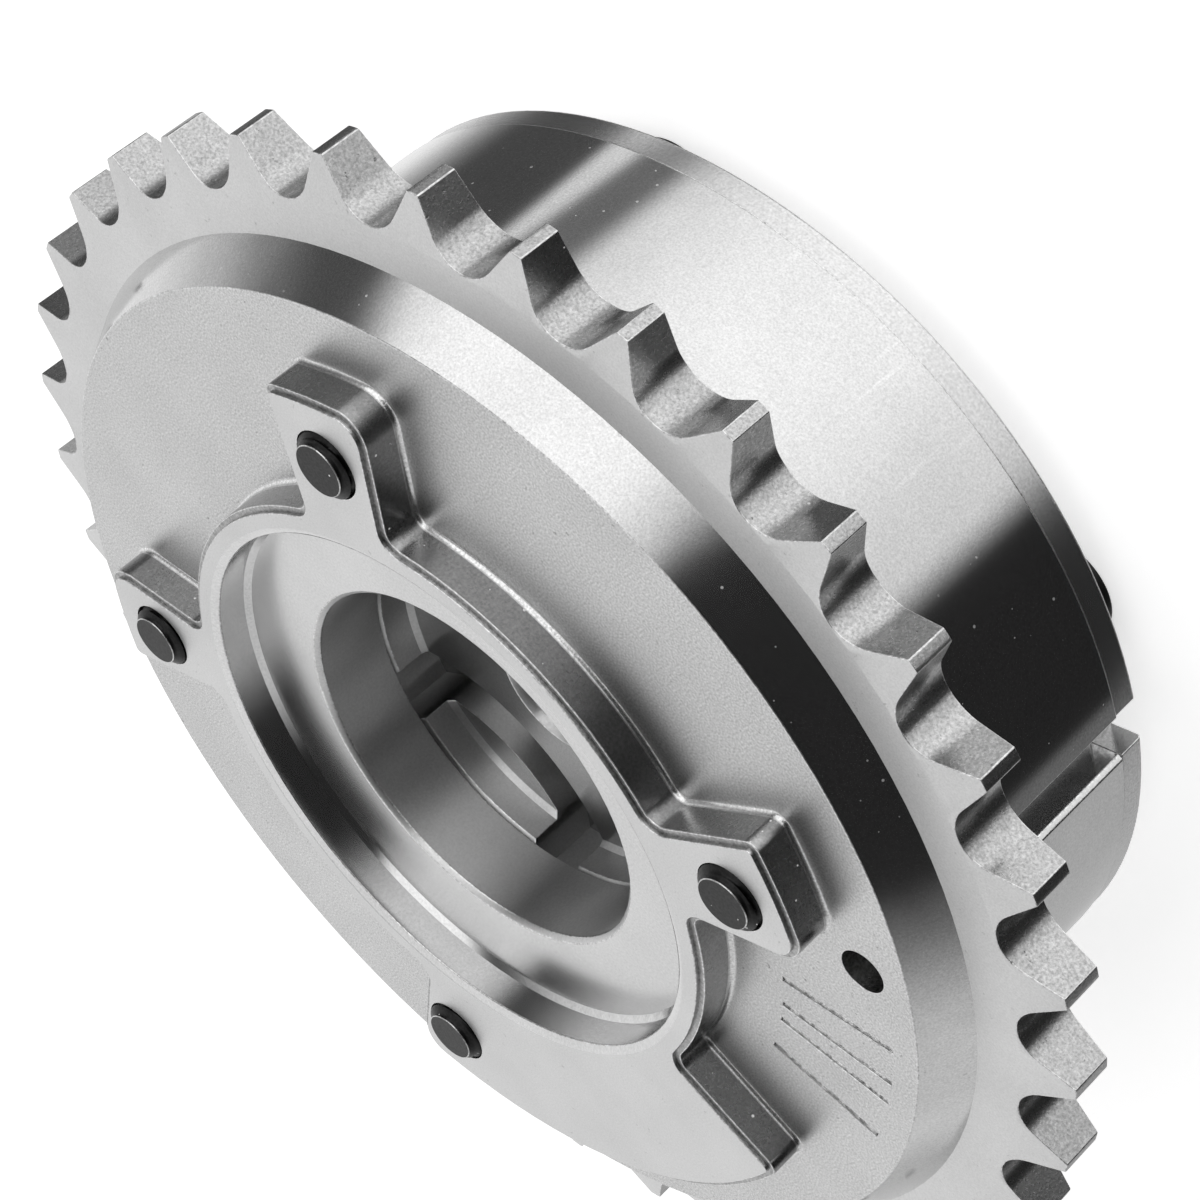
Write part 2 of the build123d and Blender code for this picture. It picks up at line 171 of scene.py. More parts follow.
softbox_data = bpy.data.lights.new("softbox", "AREA")
softbox_data.shape = "RECTANGLE"
softbox_data.size = 0.62
softbox_data.size_y = 0.50
softbox_data.energy = SOFTBOX_BRIGHTNESS * math.pi * softbox_data.size * softbox_data.size_y
softbox = bpy.data.objects.new("softbox", softbox_data)
softbox.location = polar(*SOFTBOX_PLACE)
softbox.rotation_euler = (-softbox.location).to_track_quat("-Z", "Y").to_euler()
softbox.visible_camera = False
softbox.visible_glossy = False
bpy.context.scene.collection.objects.link(softbox)
print("softbox distance, mm:", round(softbox.location.length / MM))

# %% [markdown]
# ## Sheets round the part
# A photographer hangs a bright window and black flags round a steel part, to draw the light and dark bands
# that show that its faces are turned. What a surface shows depends almost only on the direction it looks
# in, so each sheet here lies on a large sphere round the part, and its edges are set in degrees. Where two
# overlap, the nearer one covers the other. Only the metal's reflections see them, so floor and background
# stay white.

# %% Helpers for a sheet
SHEET_COLUMNS, SHEET_ROWS = 56, 30
SOFT_END = 8.0


def soft_step(share):
    share = min(max(share, 0.0), 1.0)
    return share * share * (3.0 - 2.0 * share)


def borders_at(rows, climb):
    """A sheet's left edge, right edge and the width of each soft border, in degrees, at one elevation."""
    lower, upper = next(pair for pair in zip(rows, rows[1:]) if climb <= pair[1][0] + 0.001)
    share = (climb - lower[0]) / (upper[0] - lower[0])
    return [low + (high - low) * share for low, high in zip(lower[1:], upper[1:])]


def sheet_material(name, brightness):
    """Shines with one brightness, and is clear where the sheet's cover attribute is 0."""
    material, tree = new_material(name)
    tree.nodes.clear()
    cover = add_node(tree, "ShaderNodeAttribute", attribute_name="cover").outputs["Fac"]
    clear = add_node(tree, "ShaderNodeBsdfTransparent")
    shine = add_node(tree, "ShaderNodeEmission", {"Color": grey(1.0), "Strength": brightness})
    mixed = mix_shaders(tree, cover, clear, shine)
    add_node(tree, "ShaderNodeOutputMaterial", {"Surface": mixed})
    material.cycles.emission_sampling = "NONE"
    return material


def curve_to_sphere(mesh, distance, rows):
    """Lays a flat grid, 2 by 2, on the sphere between the sheet's edges, and fades its borders."""
    cover = mesh.attributes.new("cover", "FLOAT", "POINT")
    lowest, highest = rows[0][0], rows[-1][0]
    for vertex, density in zip(mesh.vertices, cover.data):
        climb = lowest + (highest - lowest) * (vertex.co.y + 1) / 2
        left, right, left_border, right_border = borders_at(rows, climb)
        first, last = left - left_border / 2, right + right_border / 2
        turn = first + (last - first) * (vertex.co.x + 1) / 2
        sides = soft_step((turn - first) / left_border) * soft_step((last - turn) / right_border)
        lower_end = soft_step((climb - lowest) / SOFT_END)
        upper_end = soft_step((highest - climb) / SOFT_END)
        density.value = sides * lower_end * upper_end
        level = math.cos(math.radians(climb)) * distance
        vertex.co = polar(level, turn, math.sin(math.radians(climb)) * distance)


def hang_sheet(name, distance, brightness, rows):
    bpy.ops.object.select_all(action="DESELECT")
    bpy.ops.mesh.primitive_grid_add(x_subdivisions=SHEET_COLUMNS, y_subdivisions=SHEET_ROWS, size=2.0)
    made = bpy.context.active_object
    made.name = name
    curve_to_sphere(made.data, distance, rows)
    made.data.materials.append(sheet_material(name, brightness))
    made.visible_camera = False
    made.visible_diffuse = False
    made.visible_shadow = False
    made.visible_transmission = False


# %% The sheets
# A sheet's name, its distance in mm, its brightness, and its rows. Each row is an elevation, the left and
# the right edge there, and the width of the soft border at each, all in degrees.
SHEETS = {
    "bright_window": (900, 1.42, [
        (-80, -92, -30, 50, 40),
        (-33, -92, -30, 50, 40),
        (33, -68, -13, 10, 12),
        (85, -68, -13, 10, 12),
    ]),
    "left_flag": (880, 0.025, [
        (-80, -172.6, -119.5, 2, 10),
        (-27, -172.6, -119.5, 2, 10),
        (0, -172, -105, 36, 20),
        (33, -172, -78, 36, 12),
        (85, -172, -78, 36, 12),
    ]),
    "right_flag": (870, 0.09, [
        (-80, 11, 50, 4, 34),
        (-40, 11, 50, 4, 34),
        (-33, 7, 50, 4, 34),
        (-27, 3, 50, 4, 34),
        (5, -7.3, 30, 12, 40),
        (33, -7.3, 22, 12, 45),
        (85, -7.3, 22, 12, 45),
    ]),
    "narrow_flag": (860, 0.2, [
        (-80, -15.5, -4, 8, 4),
        (-40, -15.5, -4, 8, 4),
        (-33, -15.5, -2.5, 8, 4),
        (-27, -15.5, 1, 8, 4),
        (5, -10, 1, 6, 5),
    ]),
    "left_grey": (885, 0.19, [(-80, -187, -165, 6, 4), (-12, -187, -165, 6, 4)]),
    "lower_veil": (890, 0.55, [(-80, 85, 198, 80, 10), (3, 100, 198, 60, 10)]),
    "upper_veil": (892, 0.72, [(-3, 127, 198, 30, 10), (85, 140, 198, 30, 10)]),
}

for name, (distance, brightness, rows) in SHEETS.items():
    hang_sheet(name, distance, brightness, rows)
    print(name, "from", rows[0][0], "to", rows[-1][0], "degrees up")

# %% [markdown]
# ## Shared surface effects
# The same few things happen to every steel face here: fine grain and pits from the sintered powder, rings
# from the cutting tool, scratches along the axis, smears of oil and a little dust. Each is a node group, so
# one tree serves every material, and each material only says how strong it is. All of them read the
# object's own coordinates, in metres.

# %% Helpers for node groups
VALUE = "NodeSocketFloat"


def new_group(name, inputs, outputs):
    """Starts a shader node group. inputs maps a name to its value, and outputs lists names."""
    group = bpy.data.node_groups.new(name, "ShaderNodeTree")
    for label, value in inputs.items():
        socket = group.interface.new_socket(label, in_out="INPUT", socket_type=VALUE)
        socket.default_value = value
    for label in outputs:
        group.interface.new_socket(label, in_out="OUTPUT", socket_type=VALUE)
    entry = group.nodes.new("NodeGroupInput").outputs
    ending = group.nodes.new("NodeGroupOutput").inputs
    return group, entry, ending


def object_place(tree):
    return add_node(tree, "ShaderNodeTexCoord").outputs["Object"]


def noise(tree, vector, scale, detail=2.0, roughness=0.5):
    inputs = {"Vector": vector, "Scale": scale, "Detail": detail, "Roughness": roughness}
    return add_node(tree, "ShaderNodeTexNoise", inputs).outputs["Fac"]


def spread(tree, value, low, high, to_low=0.0, to_high=1.0):
    """Maps low..high to to_low..to_high and clamps what lies outside."""
    inputs = {"Value": value, "From Min": low, "From Max": high, "To Min": to_low, "To Max": to_high}
    return add_node(tree, "ShaderNodeMapRange", inputs).outputs["Result"]


# %% Grain and pits
CLOUDS_PER_METRE, PITS_PER_METRE = 140.0, 1700.0
PIT_FROM, PIT_FULL, PIT_TONE = 0.66, 0.74, 0.45
SPECKLE_DARK, SPECKLE_LIGHT = -0.13, 0.09
DRIFT_DARK, DRIFT_LIGHT = -0.05, 0.04

grain_group, entry, ending = new_group(
    "powder_grain",
    {"Grain per metre": 5200.0, "Pits": 1.0, "Contrast": 1.0},
    ["Height", "Tone"],
)
place = object_place(grain_group)
fine = noise(grain_group, place, entry["Grain per metre"], detail=3.0, roughness=0.65)
cloud = noise(grain_group, place, CLOUDS_PER_METRE, detail=4.0, roughness=0.6)
blot = noise(grain_group, place, PITS_PER_METRE, detail=3.0, roughness=0.7)
pit = maths(grain_group, "MULTIPLY", spread(grain_group, blot, PIT_FROM, PIT_FULL), entry["Pits"])
grain_group.links.new(maths(grain_group, "SUBTRACT", fine, pit), ending["Height"])
speckle = spread(grain_group, fine, 0.25, 0.75, SPECKLE_DARK, SPECKLE_LIGHT)
drift = spread(grain_group, cloud, 0.3, 0.7, DRIFT_DARK, DRIFT_LIGHT)
swing = maths(grain_group, "ADD", maths(grain_group, "MULTIPLY", speckle, entry["Contrast"]), drift)
tone = maths(grain_group, "ADD", swing, 1.0)
tone = maths(grain_group, "MULTIPLY", tone, spread(grain_group, pit, 0.0, 1.0, 1.0, PIT_TONE))
grain_group.links.new(tone, ending["Tone"])
print("grain nodes:", len(grain_group.nodes))

# %% Dust
# One speck at most in each cell of the pattern. Its cell's colour says how large it is and whether it is
# there.
DUST_CELLS_PER_METRE = 1300.0
SMALLEST_SPECK, LARGEST_SPECK = 0.03, 0.14
RARE_FROM, RARE_FULL = 0.72, 0.76

dust_group, entry, ending = new_group("metal_dust", {"Amount": 1.0}, ["Mask"])
cell = {"Vector": object_place(dust_group), "Scale": DUST_CELLS_PER_METRE}
cells = add_node(dust_group, "ShaderNodeTexVoronoi", cell)
chance = add_node(dust_group, "ShaderNodeSeparateColor", {"Color": cells.outputs["Color"]}).outputs
size = spread(dust_group, chance[1], 0.0, 1.0, SMALLEST_SPECK, LARGEST_SPECK)
speck = maths(dust_group, "LESS_THAN", cells.outputs["Distance"], size)
rare = spread(dust_group, chance[0], RARE_FROM, RARE_FULL)
specks = maths(dust_group, "MULTIPLY", speck, rare)
dust_group.links.new(maths(dust_group, "MULTIPLY", specks, entry["Amount"]), ending["Mask"])
print("dust nodes:", len(dust_group.nodes))

# %% Scratches along the axis
# Noise that is stretched along the axis makes lines. A coarser noise says where they gather.
LINES_PER_METRE, PATCHES_PER_METRE = 1500.0, 90.0
LINE_FROM, LINE_FULL, PATCH_FROM, PATCH_FULL = 0.62, 0.72, 0.45, 0.65

scratch_group, entry, ending = new_group("fine_scratches", {"Length": 0.04}, ["Mask"])
axes = add_node(scratch_group, "ShaderNodeSeparateXYZ", {"Vector": object_place(scratch_group)}).outputs
squeezed = maths(scratch_group, "MULTIPLY", axes["Z"], entry["Length"])
stretched = add_node(scratch_group, "ShaderNodeCombineXYZ", {0: axes["X"], 1: axes["Y"], 2: squeezed})
line = noise(scratch_group, stretched.outputs[0], LINES_PER_METRE, roughness=0.6)
patch = noise(scratch_group, object_place(scratch_group), PATCHES_PER_METRE)
lines = spread(scratch_group, line, LINE_FROM, LINE_FULL)
patches = spread(scratch_group, patch, PATCH_FROM, PATCH_FULL)
scratch_group.links.new(maths(scratch_group, "MULTIPLY", lines, patches), ending["Mask"])
print("scratch nodes:", len(scratch_group.nodes))

# %% Rings left by a lathe tool
# The rings follow the distance from the axis on a flat face, and the height on a round one.
HEIGHT_SHARE, RING_DARK, RING_LIGHT = 1.7, 0.90, 1.06

lathe_group, entry, ending = new_group("lathe_rings", {"Rings per metre": 9000.0}, ["Height", "Tone"])
axes = add_node(lathe_group, "ShaderNodeSeparateXYZ", {"Vector": object_place(lathe_group)}).outputs
squares = [maths(lathe_group, "MULTIPLY", axes[side], axes[side]) for side in "XY"]
reach = maths(lathe_group, "SQRT", maths(lathe_group, "ADD", *squares))
along = maths(lathe_group, "ADD", reach, maths(lathe_group, "MULTIPLY", axes["Z"], HEIGHT_SHARE))
turns = maths(lathe_group, "MULTIPLY", along, entry["Rings per metre"])
inputs = {"W": turns, "Scale": 1.0, "Detail": 3.0}
ring = add_node(lathe_group, "ShaderNodeTexNoise", inputs, noise_dimensions="1D").outputs["Fac"]
lathe_group.links.new(ring, ending["Height"])
lathe_group.links.new(spread(lathe_group, ring, 0.2, 0.8, RING_DARK, RING_LIGHT), ending["Tone"])
print("lathe nodes:", len(lathe_group.nodes))

# %% Oil smears
WET_FROM, WET_FULL = 0.42, 0.62

oil_group, entry, ending = new_group("oil_smears", {"Size per metre": 120.0}, ["Wet"])
smear = noise(oil_group, object_place(oil_group), entry["Size per metre"], detail=4.0, roughness=0.6)
oil_group.links.new(spread(oil_group, smear, WET_FROM, WET_FULL), ending["Wet"])
print("oil nodes:", len(oil_group.nodes))

# %% [markdown]
# ## Steels
# The sprocket is pressed and sintered from powder. Then its flat faces are ground, its cone is turned
# bright, and its walls are left as they came from the furnace, darker and smoother. Each finish is its own
# material, so the border between two finishes is as sharp as on the real part. In the bores the tool leaves
# rings round the axis. They draw a reflection out along the axis and keep it sharp round it, so those
# finishes have an anisotropic shine.

# %% Helpers for a steel
LOW_GRAIN, HIGH_GRAIN = 0.2, 0.8
ROUGHER, SMOOTHER = 1.12, 0.9
OIL_DARKENS, OIL_SMOOTHS = 0.35, 0.45
DUST_GREY, DUST_ROUGHNESS = 0.8, 0.9
QUARTER_TURN = 0.25


def use(tree, group, **inputs):
    """Places a node group and fills its inputs. An underscore stands for a space in an input's name."""
    inputs = {name.replace("_", " "): value for name, value in inputs.items()}
    return add_node(tree, "ShaderNodeGroup", inputs, node_tree=group).outputs


def mix(tree, factor, first, second, blend="MIX"):
    inputs = {"Factor": factor, "A": first, "B": second}
    return add_node(tree, "ShaderNodeMix", inputs, data_type="RGBA", blend_type=blend).outputs["Result"]


def draw_out(tree, shader, amount):
    """Stretches reflections across the tool's rings, which run round the axis."""
    shader.inputs["Anisotropic"].default_value = amount
    shader.inputs["Anisotropic Rotation"].default_value = QUARTER_TURN
    round_axis = add_node(tree, "ShaderNodeTangent", direction_type="RADIAL", axis="Z")
    tree.links.new(round_axis.outputs["Tangent"], shader.inputs["Tangent"])


def add_relief(tree, shader, reliefs):
    """Joins each relief, a height and its depth in micrometres, to the shader's normal."""
    normal = None
    for height, depth in reliefs:
        if depth:
            inputs = {"Height": height, "Strength": 1.0, "Distance": depth * 1e-6}
            if normal:
                inputs["Normal"] = normal
            normal = add_node(tree, "ShaderNodeBump", inputs).outputs["Normal"]
    if normal:
        tree.links.new(normal, shader.inputs["Normal"])


# %% One steel
def steel(
    name,
    colour,
    roughness,
    grain=0.0,
    rings=0.0,
    ring_scale=9000.0,
    pits=1.0,
    grain_scale=5200.0,
    contrast=1.0,
    oil=0.0,
    dust=0.0,
    scratches=0.0,
    drawn_out=0.0,
):
    """Bare steel of one finish. grain and rings are the depths of the relief in micrometres."""
    material, tree = new_material(name)
    shader = tree.nodes["Principled BSDF"]
    shader.inputs["Metallic"].default_value = 1.0
    if drawn_out:
        draw_out(tree, shader, drawn_out)
    powder = use(tree, grain_group, Grain_per_metre=grain_scale, Pits=pits, Contrast=contrast)
    tone = powder["Tone"]
    rough = spread(tree, powder["Height"], LOW_GRAIN, HIGH_GRAIN, ROUGHER * roughness, SMOOTHER * roughness)
    reliefs = [(powder["Height"], grain)]
    if rings:
        lathe = use(tree, lathe_group, Rings_per_metre=ring_scale)
        tone = maths(tree, "MULTIPLY", tone, lathe["Tone"])
        reliefs.append((lathe["Height"], rings))
    if oil:
        wet = use(tree, oil_group)["Wet"]
        tone = maths(tree, "MULTIPLY", tone, spread(tree, wet, 0.0, 1.0, 1.0, 1.0 - OIL_DARKENS * oil))
        rough = maths(tree, "MULTIPLY", rough, spread(tree, wet, 0.0, 1.0, 1.0, 1.0 - OIL_SMOOTHS * oil))
    if scratches:
        scratch = use(tree, scratch_group)["Mask"]
        tone = maths(tree, "MULTIPLY", tone, spread(tree, scratch, 0.0, 1.0, 1.0, 1.0 + scratches))
    base = mix(tree, 1.0, grey(colour), tone, "MULTIPLY")
    if dust:
        specks = use(tree, dust_group, Amount=dust)["Mask"]
        base = mix(tree, specks, base, grey(DUST_GREY))
        rough = maths(tree, "MAXIMUM", rough, maths(tree, "MULTIPLY", specks, DUST_ROUGHNESS))
        tree.links.new(maths(tree, "SUBTRACT", 1.0, specks), shader.inputs["Metallic"])
    tree.links.new(base, shader.inputs["Base Color"])
    tree.links.new(rough, shader.inputs["Roughness"])
    add_relief(tree, shader, reliefs)
    return material


# %% Finishes of the sprocket
COARSE = {"grain": 26.0, "contrast": 4.0, "pits": 0.8, "grain_scale": 4200.0}
CUT = {"grain": 60.0, "contrast": 5.0, "pits": 0.8, "grain_scale": 3000.0}
BRIGHT = {"grain": 1.0, "contrast": 1.8, "grain_scale": 6500.0, "dust": 0.3}

ground_face = steel("ground_face", 0.62, 0.36, grain=4.0, pits=0.5, grain_scale=7000.0)
pressed_face = steel("pressed_face", 0.6, 0.36, grain=14.0, contrast=3.6, grain_scale=6500.0)
turned_cone = steel("turned_cone", 0.66, 0.13, pits=0.4, **BRIGHT)
tooth_flank = steel("tooth_flank", 0.47, 0.28, grain=10.0, contrast=3.6, dust=0.6)
furnace_wall = steel("furnace_wall", 0.4, 0.28, grain=5.0, contrast=2.4, pits=0.3, oil=0.4, dust=1.0)
# Brighter than the wall and the face beside it: a painted highlight along the hub's foot.
hub_foot_painted_highlight = steel("hub_foot_painted_highlight", 0.74, 0.24, grain=14.0, contrast=2.6, pits=0.4)
pressed_ledge = steel("pressed_ledge", 0.42, 0.42, **COARSE)
step_wall = steel("step_wall", 0.42, 0.34, **COARSE)
broken_edge = steel("broken_edge", 0.66, 0.3, grain=24.0, contrast=4.0, pits=0.8, grain_scale=4200.0)
cut_wall = steel("cut_wall", 0.52, 0.3, **CUT)
# Almost white: a painted glint on the floors of the four strokes.
stroke_painted_glint = steel("stroke_painted_glint", 0.97, 0.36, **CUT)
recess_wall = steel("recess_wall", 0.64, 0.12, pits=0.1)
bored_wall = steel("bored_wall", 0.64, 0.32, pits=0.05, drawn_out=1.0)
turned_floor = steel("turned_floor", 0.62, 0.2, pits=0.1, drawn_out=0.8)
print("materials so far:", len(bpy.data.materials))

# %% Finishes of the other pieces
drum_steel = steel("drum_steel", 0.63, 0.1, pits=0.15, scratches=0.2, **BRIGHT)
# Dark: a painted shade on the floor of the drum's narrow groove.
groove_floor_painted_shade = steel("groove_floor_painted_shade", 0.26, 0.2, grain=2.0, pits=0.3)
plate_steel = steel(
    "plate_steel", 0.64, 0.22, grain=3.0, rings=0.6, ring_scale=5000.0, contrast=1.8, pits=0.3
)
rotor_steel = steel("rotor_steel", 0.56, 0.32, pits=0.05, drawn_out=1.0)
rotor_floor = steel("rotor_floor", 0.5, 0.24, pits=0.1, drawn_out=0.8)
pin_steel = steel("pin_steel", 0.6, 0.15, rings=0.8, ring_scale=14000.0, pits=0.0)
spring_steel = steel("spring_steel", 0.35, 0.25, grain=2.0, pits=0.0, oil=0.5)
black_oxide = steel("black_oxide", 0.03, 0.42, grain=6.0, contrast=3.0, pits=0.2, dust=1.0)
print("materials by now:", len(bpy.data.materials))

# %% Finish of the seals
SEAL_BROWN, SEAL_ROUGHER, SEAL_SMOOTHER = (0.10, 0.075, 0.055, 1.0), 0.5, 0.4

seal_plastic, tree = new_material("seal_plastic")
powder = use(tree, grain_group, Grain_per_metre=2600.0, Pits=0.0, Contrast=1.0)
shader = tree.nodes["Principled BSDF"]
base = mix(tree, 1.0, SEAL_BROWN, powder["Tone"], "MULTIPLY")
tree.links.new(base, shader.inputs["Base Color"])
rough = spread(tree, powder["Height"], LOW_GRAIN, HIGH_GRAIN, SEAL_ROUGHER, SEAL_SMOOTHER)
tree.links.new(rough, shader.inputs["Roughness"])
print("materials:", [material.name for material in bpy.data.materials])

# %% [markdown]
# ## Sprocket
# The CAD solid has the teeth, the cone and the star hub with mathematically sharp edges. A copy of its mesh
# is merged, its flat faces are joined, and every outward edge gets the tenth of a millimetre that deburring
# leaves. That thin strip catches the light as a bright line, which is how the eye reads an edge on steel.
# Inside corners stay sharp, because no brush reaches them.

# %% Helpers for copies of CAD solids
MERGE_DISTANCE = 1e-6
FLAT_WITHIN = 0.5


def only(obj):
    """Selects one object and nothing else."""
    bpy.ops.object.select_all(action="DESELECT")
    obj.select_set(True)
    bpy.context.view_layer.objects.active = obj


def merged_copy(node, name):
    """A copy of a CAD solid as one clean mesh, its loose triangles merged and its flat faces joined."""
    copy = bpy.data.objects.new(name, frame["nodes"][node].data.copy())
    bpy.context.scene.collection.objects.link(copy)
    copy.data.name = name
    copy.data.materials.clear()
    only(copy)
    bpy.ops.mesh.customdata_custom_splitnormals_clear()
    bpy.ops.object.mode_set(mode="EDIT")
    bpy.ops.mesh.select_all(action="SELECT")
    bpy.ops.mesh.remove_doubles(threshold=MERGE_DISTANCE)
    bpy.ops.mesh.dissolve_limited(angle_limit=math.radians(FLAT_WITHIN))
    bpy.ops.object.mode_set(mode="OBJECT")
    return copy


# %% Helpers for edges
SHARP_EDGE, SMOOTH_UP_TO, BOLT_SMOOTH_UP_TO = 32.0, 35.0, 38.0


def weigh_edges(mesh):
    """Marks each sharp outward edge for the bevel."""
    sides = {}
    for face in mesh.polygons:
        corners = list(face.vertices)
        for start, end in zip(corners, corners[1:] + corners[:1]):
            along = mesh.vertices[end].co - mesh.vertices[start].co
            sides.setdefault(frozenset((start, end)), []).append((face.normal.copy(), along))
    weights = mesh.attributes.new("bevel_weight_edge", "FLOAT", "EDGE")
    for edge in mesh.edges:
        (normal, along), (other, _) = sides[frozenset(edge.vertices)]
        sharp = normal.angle(other) > math.radians(SHARP_EDGE)
        weights.data[edge.index].value = float(sharp and normal.cross(other).dot(along) > 0)


def shade(obj, angle):
    """Shades obj smooth where faces meet at less than angle, led by the larger faces."""
    only(obj)
    bpy.ops.object.shade_smooth_by_angle(angle=math.radians(angle))
    even = obj.modifiers.new("even_shading", "WEIGHTED_NORMAL")
    even.weight = 100
    even.keep_sharp = True
    bpy.ops.object.modifier_apply(modifier=even.name)


def break_edges(obj, width):
    """Bevels every sharp outward edge by width, in millimetres, and brightens the strip."""
    weigh_edges(obj.data)
    bevel = obj.modifiers.new("broken_edges", "BEVEL")
    bevel.width = width * MM
    bevel.segments = 2
    bevel.limit_method = "WEIGHT"
    bevel.use_clamp_overlap = False
    obj.data.materials.append(broken_edge)
    bevel.material = len(obj.data.materials) - 1
    only(obj)
    bpy.ops.object.modifier_apply(modifier=bevel.name)
    shade(obj, SMOOTH_UP_TO)


def finish_by_place(obj, finishes, choose):
    """Gives each face the finish that choose(radius, height, normal) names, in millimetres."""
    order = list(finishes)
    for name in order:
        obj.data.materials.append(finishes[name])
    counts = dict.fromkeys(order, 0)
    for face in obj.data.polygons:
        corner = obj.data.vertices[face.vertices[0]].co
        name = choose(corner.xy.length / MM, face.center.z / MM, face.normal)
        face.material_index = order.index(name)
        counts[name] += 1
    print(obj.name, "faces by finish:", counts)


# %% [markdown]
# ## Where each finish lies
# A face's place tells which tool made it: how far it is from the axis, how high, and which way it looks.
# The four strokes on the raised face are cut with a rough tool, so their floors glitter and their walls are
# dark. Their floors' almost white colour is a painted glint on top of that.

# %% Sprocket zones
# Heights, and then radii from the bore outward, in millimetres
TOOTH_FACE, RAISED_FACE, LEDGE, RECESS_TOP = 26.75, 30.0, 32.7, 32.0
FOOT_HEIGHT, STROKE_DEPTH, NEAR = 0.42, 0.3, 0.05
HUB_LOWEST, CONE_LOWEST = RAISED_FACE + 0.02, TOOTH_FACE - 0.3
OUTSIDE_BORE, RECESS_RIM, PRESSED_FROM, HUB_RING, OUTSIDE_RING = 18, 21, 22, 22.6, 24
CONE_FROM, TOOTH_ROOT = 37.9, 42

# How far a face looks up: the z of its normal
LEVEL, RECESS_ROUND, STEEPEST_CONE, FLATTEST_CONE = 0.9, 0.15, 0.4, 0.65


def hub_zone(height):
    """The hub's outer side, from its foot to the low step at its top."""
    if height < RAISED_FACE + FOOT_HEIGHT:
        return "foot"
    return "wall" if height < LEDGE else "step"


def level_zone(radius, height):
    """A level face that looks up or down."""
    in_stroke = RAISED_FACE - STROKE_DEPTH < height < RAISED_FACE - NEAR and radius > OUTSIDE_RING
    return "stroke" if in_stroke else "face"


def on_recess_floor(radius, height, normal):
    """The recess's floor with the round at its foot, and the level faces further in."""
    steepest = RECESS_ROUND if radius > OUTSIDE_BORE else LEVEL
    return normal.z > steepest and radius < RECESS_RIM and height < RECESS_TOP


def on_cone(radius, height, normal):
    return radius > CONE_FROM and height > CONE_LOWEST and STEEPEST_CONE < normal.z < FLATTEST_CONE


def sprocket_zone(radius, height, normal):
    if normal.z > LEVEL and abs(height - LEDGE) < NEAR:
        return "ledge"
    if normal.z > LEVEL and abs(height - RAISED_FACE) < NEAR and radius > PRESSED_FROM:
        return "pressed"
    if on_recess_floor(radius, height, normal):
        return "floor"
    if abs(normal.z) > LEVEL:
        return level_zone(radius, height)
    if on_cone(radius, height, normal):
        return "cone"
    if radius > TOOTH_ROOT:
        return "flank"
    if radius > HUB_RING and height > HUB_LOWEST:
        return hub_zone(height)
    if radius > OUTSIDE_RING:
        return "cut"
    return "recess" if radius > OUTSIDE_BORE else "bore"


# %% Sprocket
sprocket = merged_copy("sprocket", "toothed_sprocket")
sprocket_finishes = {
    "face": ground_face,
    "pressed": pressed_face,
    "cone": turned_cone,
    "flank": tooth_flank,
    "foot": hub_foot_painted_highlight,
    "wall": furnace_wall,
    "ledge": pressed_ledge,
    "step": step_wall,
    "cut": cut_wall,
    "stroke": stroke_painted_glint,
    "recess": recess_wall,
    "bore": bored_wall,
    "floor": turned_floor,
}
finish_by_place(sprocket, sprocket_finishes, sprocket_zone)
break_edges(sprocket, 0.08)
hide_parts("sprocket")
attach(sprocket, "housing_body")
print("sprocket:", len(sprocket.data.vertices), "vertices")

# %% [markdown]
# ## Drum, end plate and rotor
# These keep their CAD shape and get the same broken edges. The drum is turned bright all round, and only
# its one axial groove is milled; the groove's floor is painted dark, a painted shade in the narrow groove.
# The plate is plainer, with rings on its face. The rotor's walls and the camshaft's seat are bored and
# turned like the sprocket's, but they run in oil, so they are darker.

# %% Drum, plate and rotor
GROOVE_ANGLE, GROOVE_INNER, GROOVE_OUTER = -131.5, 31.0, 35.3
UPRIGHT, FACING_IT = 0.1, 0.9
SEAT_RADIUS = 15.0


def by_the_groove(radius, height, normal):
    """The one axial groove is milled, and all the rest is turned. On the drum, the groove's floor takes a
    painted shade.
    """
    toward = Vector((normal.x, normal.y)).dot(polar(1.0 / MM, GROOVE_ANGLE).xy)
    inside = GROOVE_INNER < radius < GROOVE_OUTER and abs(normal.z) < UPRIGHT and toward > FACING_IT
    return "other" if inside else "main"


def rotor_finish(radius, height, normal):
    """The camshaft's seat is a turned floor."""
    return "other" if normal.z > LEVEL and radius < SEAT_RADIUS else "main"


def dressed(node, name, material, body, width, other, choose):
    """A CAD solid with broken edges, one main finish, and another where choose says so."""
    copy = merged_copy(node, name)
    finish_by_place(copy, {"main": material, "other": other}, choose)
    break_edges(copy, width)
    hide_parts(node)
    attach(copy, body)
    print(name, len(copy.data.vertices), "vertices")


dressed("housing", "drum", drum_steel, "housing_body", 0.1, groove_floor_painted_shade, by_the_groove)
dressed("cover_plate", "end_plate", plate_steel, "housing_body", 0.1, cut_wall, by_the_groove)
dressed("rotor", "vane_rotor", rotor_steel, "rotor_body", 0.06, rotor_floor, rotor_finish)

# %% [markdown]
# ## Cover bolts
# Four M5 bolts come through from the end plate and their tips stand just proud of the lugs. A thread is a
# ridge that climbs 0.8 mm each turn. Instead of winding a profile, a finely divided cylinder has each point
# pulled in or out by its place on that climb, so the mesh stays one closed skin. Black oxide makes them
# almost black, and only the thin rim of each tip is rubbed bright.

